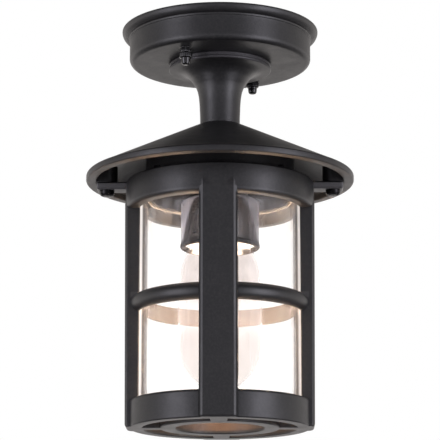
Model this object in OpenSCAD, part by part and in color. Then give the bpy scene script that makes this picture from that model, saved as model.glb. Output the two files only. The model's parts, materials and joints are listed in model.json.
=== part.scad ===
// Porch ceiling lantern: a round ceiling pan, a trumpet stem, a shallow
// conical roof and a cast cage with a clear glass cylinder round one bulb.
// Millimetres. Origin: centre of the ceiling plane, +Z up, front is -Y.

/* [Ceiling pan] */
// radius of the pan's wall
pan_r = 62.1; // [56:0.1:66]
// how far the rim bead stands out from the wall
pan_bead = 5.2; // [3:0.1:6]
// depth of the pan below the ceiling
pan_h = 24.1; // [20:0.1:30]
// sheet thickness of the pan
pan_t = 2.0; // [1.5:0.1:3]
// distance of each stud from the axis
stud_pitch_r = 48.3; // [44:0.1:52]
// angle of the stud line from +X
stud_angle = 62.7; // [30:0.1:150]
// radius of the studs
stud_r = 2.0; // [1.5:0.05:2.5]

/* [Ceiling bracket] */
// width of the bracket bar
bar_w = 18; // [14:0.5:24]
// thickness of the bracket bar
bar_t = 2.0; // [1.5:0.1:3]
// distance of each ceiling screw hole from the axis
ceiling_hole_r = 30; // [22:0.5:38]
// radius of each ceiling screw hole
screw_hole_r = 2.6; // [2:0.1:3.5]
// radius of the cable hole
cable_hole_r = 6.0; // [4:0.1:7]

/* [Stem] */
// radius of the stem's foot flange
stem_flange_r = 35.1; // [28:0.1:42]
// radius of the stem where it meets the roof
stem_neck_r = 13.6; // [11:0.1:14]

/* [Roof] */
// outer radius of the roof
roof_r = 90.9; // [86:0.1:98]
// height of the roof's top, below the ceiling
roof_top = 67.1; // [62:0.1:70]
// height of the roof's outer edge, below the ceiling
roof_edge = 103.5; // [100:0.1:104]
// height of the roof's vertical rim
roof_rim = 4.2; // [2:0.1:4.3]
// wall thickness of the roof, measured upright
roof_t = 2.8; // [2:0.1:3.5]

/* [Cage] */
// outer radius of the top ring and of the straps' flat faces
cage_r = 63.8; // [62:0.1:66]
// inner radius of the cage
cage_in = 55.2; // [55:0.1:56]
// height of the cage's top, below the ceiling
cage_top = 107.9; // [107.5:0.1:110]
// height of the top ring
top_ring_h = 19.4; // [18:0.1:24]
// height of the cage's underside, below the ceiling
cage_bottom = 275; // [272:0.1:280]
// height of the bottom ring
bottom_ring_h = 18.5; // [15:0.1:22]
// thickness of the bottom grille
grille_t = 8; // [5:0.5:10]
// radius of the open hole in the grille
grille_hole_r = 29.6; // [29.3:0.1:31]
// outer radius of the grille's inner ring
grille_ring_r = 40; // [37:0.1:42]
// outer radius of the grille's four slots
grille_slot_r = 51.6; // [48:0.1:52]
// width of the grille's spokes
spoke_w = 11.3; // [8:0.1:14]
// width of the straps
strap_w = 25; // [18:0.1:28]
// bevel on the straps' edges
strap_bevel = 1.8; // [0.8:0.1:2.5]
// how far the straps' faces lean inwards over their length
strap_draft = 1.0; // [0:0.1:1.2]
// height of the middle ring's centre, below the ceiling
mid_ring_z = 191.8; // [185:0.1:200]
// half height of the middle ring
mid_ring_r = 5.8; // [4:0.1:6]
// wall thickness of the neck, inside the roof
neck_t = 1.8; // [1.4:0.1:2.2]
// distance of the ear screws from the axis
ear_screw_r = 76.8; // [75:0.1:78]
// width of the ears
ear_w = 15; // [12:0.5:18]
// distance of the ears' ends from the axis
ear_end_r = 83.8; // [82:0.1:83.9]

/* [Glass] */
// outer radius of the glass cylinder
glass_r = 54.1; // [53.5:0.1:54.2]
// wall thickness of the glass
glass_t = 3.0; // [2:0.1:3.5]

/* [Lampholder and bulb] */
// radius of the lampholder
holder_r = 18.6; // [17.5:0.1:20]
// outer radius of the shroud
shroud_r = 26.5; // [24:0.1:28]
// height of the shroud's lower rim, below the ceiling
shroud_bottom = 153.5; // [148:0.1:158]
// largest radius of the bulb
bulb_r = 28.5; // [27:0.1:28.6]
// height of the bulb's lower end, below the ceiling
bulb_bottom = 249; // [240:0.5:252]

/* [Hidden] */
$fn = 96;

ux = cos(stud_angle);
uy = sin(stud_angle);
cage_ring_bottom = cage_top + top_ring_h;
grille_top = cage_bottom - grille_t;
lean = atan(strap_draft / (cage_bottom - cage_ring_bottom));
slope = (roof_edge - roof_top) / (roof_r - 14.5);
glass_top = 119.6;
glass_bottom = grille_top - 1.2;
tube_r = 5.0;
tube_in = 3.6;
shell_in = 13.6;
retainer_foot = 118.4;
neck_top = roof_top + (48.6 - 14.5) * (roof_edge - roof_top) / (roof_r - 14.5)
  + roof_t + 1.4;

// height of the roof's outer surface at radius r
function roof_z(r) = -(roof_top + (r - 14.5) * slope);

// a quarter of a circle as points, centre (cx, cy), from angle a0 to a1
function arc(cx, cy, r, a0, a1, n = 8) =
  [for (i = [0:n]) [cx + r * cos(a0 + (a1 - a0) * i / n),
                    cy + r * sin(a0 + (a1 - a0) * i / n)]];

module tube(z0, z1, ri, ro) {
  translate([0, 0, z1]) difference() {
    cylinder(r = ro, h = z0 - z1);
    translate([0, 0, -1]) cylinder(r = ri, h = z0 - z1 + 2);
  }
}

// a straight round bar between two points
module bar(a, b, r) {
  d = b - a;
  translate(a) rotate([0, acos(d[2] / norm(d)), atan2(d[1], d[0])])
    cylinder(r = r, h = norm(d), $fn = 24);
}

// corner cutting, n times, and the carried side vectors of a path
function unit(v) = v / norm(v);
function smooth(p, n) = n == 0 ? p : smooth(concat([p[0]],
  [for (i = [0:len(p) - 2]) each [p[i] * 0.75 + p[i + 1] * 0.25,
                                  p[i] * 0.25 + p[i + 1] * 0.75]],
  [p[len(p) - 1]]), n - 1);
function carry(t, u, i = 0) = i == len(t) ? [] :
  let (v = unit(u - (u * t[i]) * t[i])) concat([v], carry(t, v, i + 1));

// an insulated wire along a smoothed route, side is square to its start
module wire(route, r, side = [0, 0, 1], n = 14) {
  p = smooth(route, 2);
  m = len(p);
  t = [for (i = [0:m - 1]) unit(p[min(i + 1, m - 1)] - p[max(i - 1, 0)])];
  u = carry(t, side);
  polyhedron(
    points = [for (i = [0:m - 1], k = [0:n - 1])
      p[i] + r * (cos(360 * k / n) * u[i]
                  + sin(360 * k / n) * cross(t[i], u[i]))],
    faces = concat([[for (k = [0:n - 1]) k]],
      [for (i = [0:m - 2], k = [0:n - 1]) each [
        [i * n + k, (i + 1) * n + k, (i + 1) * n + (k + 1) % n],
        [i * n + k, (i + 1) * n + (k + 1) % n, i * n + (k + 1) % n]]],
      [[for (k = [n - 1:-1:0]) (m - 1) * n + k]]));
}

module hex_nut(z_low, h, flats, bore) {
  translate([0, 0, z_low]) difference() {
    intersection() {
      cylinder(r = flats / sqrt(3), h = h, $fn = 6);
      rotate_extrude() polygon([[0, 0], [flats / 2, 0],
        [flats / sqrt(3) + 0.05, 0.8], [flats / sqrt(3) + 0.05, h - 0.8],
        [flats / 2, h], [0, h]]);
    }
    translate([0, 0, -1]) cylinder(r = bore, h = h + 2);
  }
}

// ---- ceiling assembly ----

module ceiling_gasket()
  color([0.08, 0.08, 0.08]) tube(0, -2.0, pan_r - 1.9, pan_r + 1.2);

module ceiling_pan() {
  ro = pan_r;
  color([0.16, 0.16, 0.17]) difference() {
    rotate_extrude($fn = 144) polygon(concat(
      [[ro + 1.3, 0]],
      arc(ro + pan_bead - 1.2, -1.2, 1.2, 90, 0, 5),
      arc(ro + 0.4, -1.2, pan_bead - 0.4, -4, -82, 9),
      [[ro + 0.55, -6.9], [ro, -7.2]],
      arc(ro - 3.8, -pan_h + 3.8, 3.8, 0, -90, 8),
      [[5.2, -pan_h], [5.2, -pan_h + pan_t]],
      arc(ro - 3.8, -pan_h + 3.8, 1.8, -90, 0, 5),
      [[ro - pan_t, -2.1], [ro + 1.3, -2.1]]));
    for (s = [-1, 1])
      translate([s * ux * stud_pitch_r, s * uy * stud_pitch_r, -pan_h - 1])
        cylinder(r = stud_r + 0.3, h = pan_t + 2, $fn = 32);
  }
}

module ceiling_bracket()
  color([0.62, 0.63, 0.65]) translate([0, 0, -bar_t]) rotate(stud_angle)
    difference() {
      union() {
        translate([-46, -bar_w / 2, 0]) cube([92, bar_w, bar_t]);
        for (s = [-1, 1]) translate([s * 46, 0, 0])
          cylinder(r = bar_w / 2, h = bar_t);
      }
      translate([0, 0, -1]) cylinder(r = cable_hole_r, h = bar_t + 2);
      for (s = [-1, 1]) {
        translate([s * stud_pitch_r, 0, -1])
          cylinder(r = stud_r + 0.05, h = bar_t + 2, $fn = 32);
        translate([s * ceiling_hole_r, 0, -1])
          cylinder(r = screw_hole_r, h = bar_t + 2, $fn = 32);
      }
      translate([18, 0, -1]) cylinder(r = 1.65, h = bar_t + 2, $fn = 32);
    }

module bracket_studs()
  color([0.72, 0.7, 0.62]) for (s = [-1, 1])
    translate([s * ux * stud_pitch_r, s * uy * stud_pitch_r, 0]) {
      len = s < 0 ? pan_h + 10.4 : pan_h + 6.5;
      translate([0, 0, -len]) cylinder(r = stud_r, h = len - 0.1, $fn = 32);
      translate([0, 0, -bar_t - 3.2]) cylinder(r = 4.1, h = 3.2, $fn = 6);
    }

module lock_nut()
  color([0.14, 0.14, 0.15])
    translate([-ux * stud_pitch_r, -uy * stud_pitch_r, -pan_h - 3.9])
      difference() {
        rotate_extrude($fn = 48) polygon([[0, 0], [3.1, 0], [3.5, 0.4],
          [3.5, 3.5], [3.9, 3.9], [0, 3.9]]);
        translate([0, 0, -1]) cylinder(r = stud_r + 0.05, h = 6, $fn = 32);
      }

// a knurled cap nut, its seat at z = 0, pointing down
module cap_nut()
  color([0.14, 0.14, 0.15]) difference() {
    rotate_extrude($fn = 48) polygon(concat(
      [[0, 0], [4.2, 0], [4.4, -0.3], [4.4, -3.1], [3.9, -3.6],
       [3.25, -3.9]],
      arc(1.05, -6.45, 1.95, 8, -90, 8), [[0, -8.4]]));
    for (i = [0:19]) rotate(i * 18)
      translate([4.55, 0, -3.2]) cylinder(r = 0.38, h = 2.8, $fn = 16);
    translate([0, 0, -7.2]) cylinder(r = stud_r + 0.06, h = 8, $fn = 32);
  }

module cap_nut_left()
  translate([-ux * stud_pitch_r, -uy * stud_pitch_r, -pan_h - 3.95])
    cap_nut();

module cap_nut_right()
  translate([ux * stud_pitch_r, uy * stud_pitch_r, -pan_h - 0.05])
    cap_nut();

module tube_washer_top()
  color([0.6, 0.6, 0.62]) tube(-pan_h + pan_t + 1.2, -pan_h + pan_t,
                               tube_r + 0.2, 9.5);

module tube_nut_top()
  color([0.75, 0.65, 0.35])
    hex_nut(-pan_h + pan_t + 1.2, 3.6, 14, tube_r + 0.05);

module threaded_tube()
  color([0.7, 0.7, 0.72]) tube(-14, -101.5, tube_in, tube_r);

// plastic bush that keeps the wires off the tube's upper edge
module tube_bush()
  color([0.9, 0.9, 0.88]) difference() {
    union() {
      tube(-12.2, -14, 2.6, 5.0);
      tube(-13.9, -18, 2.6, tube_in - 0.05);
    }
  }

module stem()
  color([0.15, 0.15, 0.16]) difference() {
    rotate_extrude($fn = 144) polygon([[0, -pan_h],
      [stem_flange_r - 0.6, -pan_h], [stem_flange_r, -24.5],
      [stem_flange_r, -25.5], [stem_flange_r - 0.45, -25.9],
      [stem_flange_r - 0.45, -26.5], [stem_flange_r, -26.9],
      [stem_flange_r, -27.9], [stem_flange_r - 0.5, -28.4],
      [28.2, -28.9], [25.2, -29.8], [22.6, -31.6], [20.6, -33.6],
      [19.1, -35.7], [17.7, -37.9], [16.5, -39.9], [15.6, -42.1],
      [15.0, -44.3], [14.55, -46.8], [14.2, -49.7], [13.95, -53],
      [13.7, -57], [stem_neck_r, -62], [stem_neck_r, -roof_top],
      [0, -roof_top]]);
    translate([0, 0, -roof_top - 1]) cylinder(r = tube_r + 0.1, h = 60);
    translate([0, 0, -roof_top + 6]) cylinder(r = 9, h = 28);
    translate([0, 0, -34]) cylinder(r = 14, h = 5);
  }

module roof() {
  color([0.13, 0.13, 0.14]) difference() {
    union() {
      rotate_extrude($fn = 180) polygon([[0, -roof_top], [14.5, -roof_top],
        [roof_r - 0.5, -roof_edge + 0.2], [roof_r, -roof_edge - 0.4],
        [roof_r, -roof_edge - roof_rim + 0.4],
        [roof_r - 0.4, -roof_edge - roof_rim],
        [84, -roof_edge - roof_rim], [84, roof_z(84) - roof_t],
        [16.5, roof_z(16.5) - roof_t], [13, -72.6], [0, -72.6]]);
      for (s = [-1, 1]) intersection() {
        union() {
          translate([s * ear_screw_r, 0, -cage_top + 0.05])
            cylinder(r = 7.2, h = 40, $fn = 64);
          translate([s * 80.4 - 4, -7.2, -cage_top + 0.05])
            cube([8, 14.4, 40]);
        }
        rotate_extrude($fn = 180) polygon([[60, -cage_top + 0.05],
          [84.05, -cage_top + 0.05], [84.05, roof_z(84.05) - 1],
          [60, roof_z(60) - 1]]);
      }
    }
    translate([0, 0, -74]) cylinder(r = tube_r + 0.1, h = 12);
    for (s = [-1, 1]) translate([s * ear_screw_r, 0, -cage_top - 1])
      cylinder(r = 2.06, h = cage_top + 1 - 99.2, $fn = 48);
  }
}

module roof_washer()
  color([0.6, 0.6, 0.62]) tube(-72.6, -74.0, tube_r + 0.2, 11.5);

module roof_nut()
  color([0.75, 0.65, 0.35]) hex_nut(-77.6, 3.6, 14, tube_r + 0.05);

// ---- wiring in the pan ----

tb = [-31, 20, -pan_h + pan_t];

module terminal_block()
  color([0.92, 0.92, 0.9]) translate(tb) difference() {
    union() {
      translate([-13, -6.5, 0]) cube([26, 13, 3]);
      for (i = [-1:1]) translate([i * 8 - 3.6, -8, 0]) cube([7.2, 16, 10]);
    }
    for (i = [-1:1]) {
      translate([i * 8, 9, 5]) rotate([90, 0, 0])
        cylinder(r = 1.6, h = 18, $fn = 32);
      for (s = [-1, 1]) translate([i * 8, s * 4.6, 6])
        cylinder(r = 1.7, h = 6, $fn = 32);
    }
  }

module terminal_screws()
  color([0.75, 0.62, 0.3]) translate(tb)
    for (i = [-1:1]) for (s = [-1, 1]) translate([i * 8, s * 4.6, 6.65])
      difference() {
        cylinder(r = 1.5, h = 2.6, $fn = 32);
        translate([-2, -0.25, 2.0]) cube([4, 0.5, 1]);
      }

module earth_screw()
  color([0.75, 0.62, 0.3]) translate([18 * ux, 18 * uy, 0]) difference() {
    union() {
      translate([0, 0, -6]) cylinder(r = 1.6, h = 5.9, $fn = 32);
      translate([0, 0, -6.6]) cylinder(r = 3, h = 1.8, $fn = 32);
    }
    translate([-4, -0.35, -7.2]) cube([8, 0.7, 1.3]);
  }

wire_r = 0.9;

module wire_live()
  color([0.45, 0.22, 0.1]) wire([[-39, 16.5, -17.1], [-39, 9, -17.1],
    [-34, 4, -15], [-22, 0.5, -10.5], [-9, 0, -7.2], [-3.5, 0, -6.4],
    [-1.1, 0, -8.2], [-1.1, 0, -14], [-1.1, 0, -98], [-1.1, 0, -101.6],
    [-2.6, 0, -104], [-8.2, 0, -105.05]], wire_r);

module wire_neutral()
  color([0.15, 0.35, 0.75]) wire([[-31, 16.5, -17.1], [-31, 10, -17.1],
    [-26, 6.5, -14], [-15, 3.6, -9.4], [-3, 2.4, -6.8], [1.4, 1.2, -6.4],
    [1.1, 0, -9], [1.1, 0, -14], [1.1, 0, -98], [1.1, 0, -101.6],
    [2.6, 0, -104], [8.2, 0, -105.05]], wire_r);

module wire_earth()
  color([0.35, 0.6, 0.15]) wire([[-23, 16.5, -17.1], [-23, 8.5, -17.1],
    [-18, 6.4, -15.5], [-8, 8.5, -11], [2, 12.2, -6.4],
    [18 * ux - 2.6, 18 * uy - 1.5, -3.9],
    [18 * ux - 2.4, 18 * uy + 1.6, -3.9]],
    wire_r);

// ---- lampholder ----

module holder_cap()
  color([0.1, 0.1, 0.1]) rotate_extrude() polygon(concat(
    [[tube_r + 0.05, -96], [8.2, -96], [9, -96.8], [9, -99.5]],
    arc(holder_r - 5, -105, 5, 80, 0, 8),
    [[holder_r, -113], [holder_r - 1.7, -113], [holder_r - 1.7, -105.4]],
    arc(holder_r - 5, -105, 3.3, 0, 80, 6),
    [[9, -101.6], [tube_r + 0.05, -101.6]]));

module holder_base()
  color([0.93, 0.92, 0.88]) translate([0, 0, -112.9]) difference() {
    cylinder(r = holder_r - 1.9, h = 6.6);
    for (s = [-1, 1]) {
      translate([s * 8, 0, 2.6]) cylinder(r = 1.6, h = 6, $fn = 32);
      translate([s * 8 - 3.6, -3.2, 5]) cube([7.2, 6.4, 4]);
    }
  }

module holder_contact_screws()
  color([0.75, 0.62, 0.3]) for (s = [-1, 1])
    translate([s * 8, 0, -110.2]) difference() {
      union() {
        cylinder(r = 1.55, h = 4, $fn = 32);
        translate([0, 0, 2.4]) cylinder(r = 2.7, h = 1.8, $fn = 32);
      }
      translate([-4, -0.35, 3.5]) cube([8, 0.7, 1.4]);
    }

module holder_body()
  color([0.1, 0.1, 0.1]) rotate_extrude() polygon([
    [shell_in + 0.9, -113], [holder_r, -113], [holder_r, -121],
    [holder_r - 1, -121], [holder_r - 1, -142.2], [holder_r - 1.6, -142.8],
    [shell_in + 0.9, -142.8]]);

// brass shell with rolled thread, its waist clear of the bulb's cap
module thread_shell()
  color([0.8, 0.62, 0.25]) rotate_extrude() polygon(concat(
    [[shell_in + 0.85, -116.2], [shell_in + 0.85, -140.6],
     [shell_in + 0.2, -140.6]],
    [for (i = [0:24]) [shell_in + 0.12 + 0.12 * cos(i * 90),
                       -140 + i * 0.85]],
    [[shell_in, -118.6], [10.5, -117.2], [10.5, -116.2]]));

module centre_contact()
  color([0.8, 0.62, 0.25]) {
    translate([-3.2, -2, -113.9]) cube([6.4, 4, 0.9]);
    translate([-3.2, -2, -115.0]) cube([1.0, 4, 1.2]);
    translate([-3.2, -2, -115.4]) cube([6.0, 4, 0.5]);
  }

// straight tube with a turned-in top plate and a rolled lower lip
module holder_shroud()
  color([0.09, 0.09, 0.09]) rotate_extrude($fn = 128) polygon(concat(
    [[holder_r - 0.9, -121.05]],
    arc(shroud_r - 2, -123.05, 2, 90, 0, 6),
    arc(shroud_r - 1.3, -shroud_bottom + 1.8, 1.8, 44, -260, 19),
    [[shroud_r - 1.6, -123.6], [shroud_r - 2.6, -122.6],
     [holder_r - 0.9, -122.6]]));

module shroud_ring()
  color([0.1, 0.1, 0.1]) difference() {
    tube(-122.65, -126.4, holder_r - 0.95, 22.2);
    for (i = [0:23]) rotate(i * 15) translate([22.6, 0, -127])
      cylinder(r = 0.8, h = 5, $fn = 16);
  }

// ---- bulb ----

function bulb_out() = concat(
  [[11.5, -135.5], [11.7, -140.2], [12.4, -142.2], [13.6, -144.2],
   [15.2, -146.8],
   [17.6, -150.2], [20.3, -153.4], [22.8, -156.5], [24.8, -159.8],
   [26.3, -163.6], [27.3, -168], [27.9, -174], [28.3, -182],
   [bulb_r, -192], [bulb_r, -bulb_bottom + bulb_r]],
  [for (i = [1:14]) [bulb_r * cos(i * 90 / 14),
                     -bulb_bottom + bulb_r - bulb_r * sin(i * 90 / 14)]]);

function bulb_in() = [for (p = bulb_out())
  [p[0] < 1 ? 0 : p[0] - (p[1] > -200 ? 0.9 : 0.9 * p[0] / bulb_r),
   p[1] > -bulb_bottom + bulb_r ? p[1] : p[1] + 0.9
     * (-bulb_bottom + bulb_r - p[1]) / bulb_r]];

module bulb_glass()
  color([0.85, 0.9, 0.95, 0.35]) rotate_extrude() polygon(concat(
    bulb_out(),
    [for (i = [len(bulb_in()) - 1:-1:0]) bulb_in()[i]]));

module bulb_cap()
  color([0.78, 0.76, 0.7]) rotate_extrude() polygon(concat(
    [[12.2, -140.8], [13.0, -140.8], [13.1, -140.2]],
    [for (i = [0:20]) [12.85 - 0.25 * cos(i * 90), -139 + i * 0.9]],
    [[12.3, -120.3], [9.8, -118.4], [9.8, -119.3], [11.7, -120.9],
     [12.2, -121.8]]));

module bulb_insulator()
  color([0.05, 0.05, 0.05]) rotate_extrude() polygon([[4.7, -116.6],
    [6.2, -116.7], [9.7, -118.5], [9.7, -120.4], [4.7, -120.4]]);

module bulb_tip()
  color([0.7, 0.7, 0.72]) rotate_extrude() polygon([[0, -115.5],
    [2.4, -115.7], [3.9, -116.3], [4.6, -117.2], [4.6, -119.2],
    [0, -119.2]]);

module bulb_stem()
  color([0.85, 0.9, 0.95, 0.35]) rotate_extrude($fn = 64) polygon([
    [0, -138.5], [10.45, -138.5], [10.45, -140.5], [6.5, -144.5], [4.6, -150],
    [3.6, -160], [3.2, -172], [3.4, -174], [2.6, -175.6], [0, -176]]);

// support wires: a cross at each end of the filaments
fil_r = 9.5;
module bulb_wires()
  color([0.7, 0.7, 0.72]) {
    for (i = [0:5]) {
      a = i * 60 + 30;
      bar([0, 0, -176.9], [fil_r * cos(a), fil_r * sin(a), -179.66], 0.28);
      bar([0, 0, -216.2], [fil_r * 1.25 * cos(a), fil_r * 1.25 * sin(a),
           -214.54], 0.28);
    }
    translate([0, 0, -217.2]) cylinder(r = 1.1, h = 2, $fn = 32);
    translate([0, 0, -177.8]) cylinder(r = 1.1, h = 1.8, $fn = 32);
    translate([0, 0, -216.5]) cylinder(r = 0.4, h = 39.5, $fn = 32);
  }

module bulb_filaments()
  color([1, 0.85, 0.4]) for (i = [0:5]) {
    a = i * 60 + 30;
    bar([fil_r * cos(a), fil_r * sin(a), -180.0],
        [fil_r * 1.25 * cos(a), fil_r * 1.25 * sin(a), -214.2], 0.95);
  }

// ---- cage ----

// a strap leans inwards downwards, and runs out into the top ring
module cage_strap(a)
  rotate(a) intersection() {
    translate([cage_r, 0, -cage_ring_bottom]) rotate([0, lean, 0])
      translate([-cage_r, 0, cage_ring_bottom - cage_bottom - 4])
        linear_extrude(cage_bottom - cage_top)
          polygon([[cage_in - 2, -strap_w / 2],
            [cage_r - strap_bevel, -strap_w / 2],
            [cage_r, -strap_w / 2 + strap_bevel],
            [cage_r, strap_w / 2 - strap_bevel],
            [cage_r - strap_bevel, strap_w / 2], [cage_in - 2, strap_w / 2]]);
    rotate([90, 0, 0]) translate([0, 0, -strap_w / 2 - 1])
      linear_extrude(strap_w + 2) polygon(concat(
        [[cage_in - 3, -cage_bottom]],
        arc(cage_r - strap_draft - 1.9, -cage_bottom + 2, 2, -90, 0, 6),
        [[cage_r + 1, -cage_bottom + 2], [cage_r + 1, -cage_top - 22.67],
         [cage_r - 1.8, -cage_top - 4], [cage_in - 3, -cage_top - 4]]));
  }

// an ear, out along +X, with small round corners
module ear()
  translate([0, 0, -cage_top - 4.8]) {
    translate([59, -ear_w / 2, 0]) cube([ear_end_r - 1.5 - 59, ear_w, 4.8]);
    translate([59, -ear_w / 2 + 1.5, 0])
      cube([ear_end_r - 59, ear_w - 3, 4.8]);
    for (s = [-1, 1]) translate([ear_end_r - 1.5, s * (ear_w / 2 - 1.5), 0])
      cylinder(r = 1.5, h = 4.8, $fn = 32);
  }

module cage_frame() {
  color([0.17, 0.17, 0.18]) difference() {
    union() {
      rotate_extrude($fn = 180) polygon(concat(
        [[cage_in, -cage_top]],
        arc(cage_r - 1, -cage_top - 1, 1, 90, 0, 4),
        arc(cage_r - 3, -cage_ring_bottom + 3, 3, 0, -90, 7),
        [[cage_in + 0.6, -cage_ring_bottom], [cage_in, -cage_ring_bottom + 0.6]]));
      rotate_extrude($fn = 180) intersection() {
        translate([cage_in - 0.35, -mid_ring_z])
          circle(r = mid_ring_r, $fn = 48);
        translate([cage_in, -mid_ring_z - 8]) square([12, 16]);
      }
      rotate_extrude($fn = 180) polygon(concat(
        [[cage_in, -cage_bottom + bottom_ring_h]],
        arc(cage_r - 5.3, -cage_bottom + bottom_ring_h - 2, 2, 90, 0, 5),
        arc(cage_r - 5.3, -cage_bottom + 2, 2, 0, -90, 5),
        [[grille_slot_r, -cage_bottom], [grille_slot_r, -grille_top],
         [cage_in, -grille_top]]));
      tube(-grille_top, -cage_bottom, grille_hole_r, grille_ring_r);
      for (a = [0, 90]) rotate(a) difference() {
        translate([-grille_slot_r - 2, -spoke_w / 2, -cage_bottom])
          cube([2 * grille_slot_r + 4, spoke_w, grille_t]);
        translate([0, 0, -cage_bottom - 1])
          cylinder(r = grille_hole_r, h = grille_t + 2);
      }
      for (i = [0:3]) cage_strap(i * 90);
      for (a = [0, 180]) rotate(a) ear();
    }
    translate([0, 0, -grille_top]) cylinder(r = cage_in, h = 200, $fn = 180);
    for (s = [-1, 1]) translate([s * ear_screw_r, 0, -cage_top - 6])
      cylinder(r = 2.06, h = 8, $fn = 48);
  }
}

// closed neck up to the roof, with a seat flange on the cage and a foot over
// the glass
module glass_retainer()
  color([0.12, 0.12, 0.13]) difference() {
    rotate_extrude($fn = 144) polygon([[50.4 - neck_t, -neck_top - 0.3],
      [50.7 - neck_t, -neck_top], [50.1, -neck_top],
      [50.4, -neck_top - 0.3], [50.4, -cage_top + 1.2],
      [60.6, -cage_top + 1.2], [60.6, -cage_top],
      [50.4, -cage_top], [50.4, -retainer_foot + 1.6],
      [54.6, -retainer_foot + 1.6], [54.6, -retainer_foot],
      [50.4 - neck_t, -retainer_foot]]);
    for (i = [0:3]) rotate(45 + i * 90) translate([57.9, 0, -cage_top - 1])
      cylinder(r = 1.6, h = 4, $fn = 24);
  }

module retainer_screws()
  color([0.6, 0.6, 0.62]) for (i = [0:3]) rotate(45 + i * 90)
    translate([57.9, 0, -cage_top + 1.2]) difference() {
      union() {
        cylinder(r = 2.4, h = 1.5, $fn = 32);
        translate([0, 0, -1.1]) cylinder(r = 1.5, h = 1.2, $fn = 32);
      }
      translate([-3, -0.3, 0.9]) cube([6, 0.6, 1]);
    }

module glass_seat_top()
  color([0.5, 0.5, 0.48]) tube(-retainer_foot, -glass_top, glass_r - glass_t - 0.3, 54.6);

module glass_seat_bottom()
  color([0.5, 0.5, 0.48]) tube(-glass_bottom, -grille_top, glass_r - glass_t - 0.1, 54.9);

module glass_cylinder()
  color([0.85, 0.9, 0.95, 0.3]) rotate_extrude($fn = 180) polygon([
    [glass_r - glass_t, -glass_top - 0.5], [glass_r - glass_t + 0.5, -glass_top],
    [glass_r - 0.5, -glass_top], [glass_r, -glass_top - 0.5],
    [glass_r, -glass_bottom + 0.5], [glass_r - 0.5, -glass_bottom],
    [glass_r - glass_t + 0.5, -glass_bottom],
    [glass_r - glass_t, -glass_bottom + 0.5]]);

// a pan-head screw under an ear, its head's seat at the ear's underside
module ear_screw(s)
  color([0.3, 0.3, 0.31]) translate([s * ear_screw_r, 0, -cage_top - 4.85])
    difference() {
      union() {
        cylinder(r = 2.0, h = 12.6, $fn = 48);
        rotate_extrude($fn = 48) polygon([[0, 0], [5.0, 0], [5.0, -2.0],
          [4.4, -3.0], [3.0, -3.7], [0, -3.9]]);
      }
      translate([-6, -0.6, -4.4]) cube([12, 1.2, 2.0]);
    }

module ear_screw_left() ear_screw(-1);
module ear_screw_right() ear_screw(1);

ceiling_gasket();
ceiling_pan();
ceiling_bracket();
bracket_studs();
lock_nut();
cap_nut_left();
cap_nut_right();
tube_washer_top();
tube_nut_top();
threaded_tube();
tube_bush();
stem();
roof();
roof_washer();
roof_nut();
terminal_block();
terminal_screws();
earth_screw();
wire_live();
wire_neutral();
wire_earth();
holder_cap();
holder_base();
holder_body();
holder_contact_screws();
thread_shell();
centre_contact();
holder_shroud();
shroud_ring();
bulb_glass();
bulb_cap();
bulb_insulator();
bulb_tip();
bulb_stem();
bulb_wires();
bulb_filaments();
cage_frame();
glass_retainer();
retainer_screws();
glass_seat_top();
glass_seat_bottom();
glass_cylinder();
ear_screw_left();
ear_screw_right();
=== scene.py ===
import json
import math

import bmesh
import bpy
from mathutils import Matrix, Vector
from mathutils.geometry import tessellate_polygon


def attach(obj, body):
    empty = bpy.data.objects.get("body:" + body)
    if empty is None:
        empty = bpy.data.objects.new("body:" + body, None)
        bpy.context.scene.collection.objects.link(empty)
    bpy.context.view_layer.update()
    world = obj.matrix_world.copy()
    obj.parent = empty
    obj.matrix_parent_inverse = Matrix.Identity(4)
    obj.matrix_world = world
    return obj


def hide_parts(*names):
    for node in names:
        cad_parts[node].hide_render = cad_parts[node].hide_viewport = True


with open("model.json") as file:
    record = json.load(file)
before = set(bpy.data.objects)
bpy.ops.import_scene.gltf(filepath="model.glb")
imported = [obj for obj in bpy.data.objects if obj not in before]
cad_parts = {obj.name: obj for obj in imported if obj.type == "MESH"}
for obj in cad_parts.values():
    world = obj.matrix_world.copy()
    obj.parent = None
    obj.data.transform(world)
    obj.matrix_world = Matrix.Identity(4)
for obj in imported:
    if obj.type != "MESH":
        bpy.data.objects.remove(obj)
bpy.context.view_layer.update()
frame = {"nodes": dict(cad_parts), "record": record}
NODES = frame["nodes"]
MM = 0.001
scene = bpy.context.scene


# ---------------------------------------------------------------- node helpers

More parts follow.
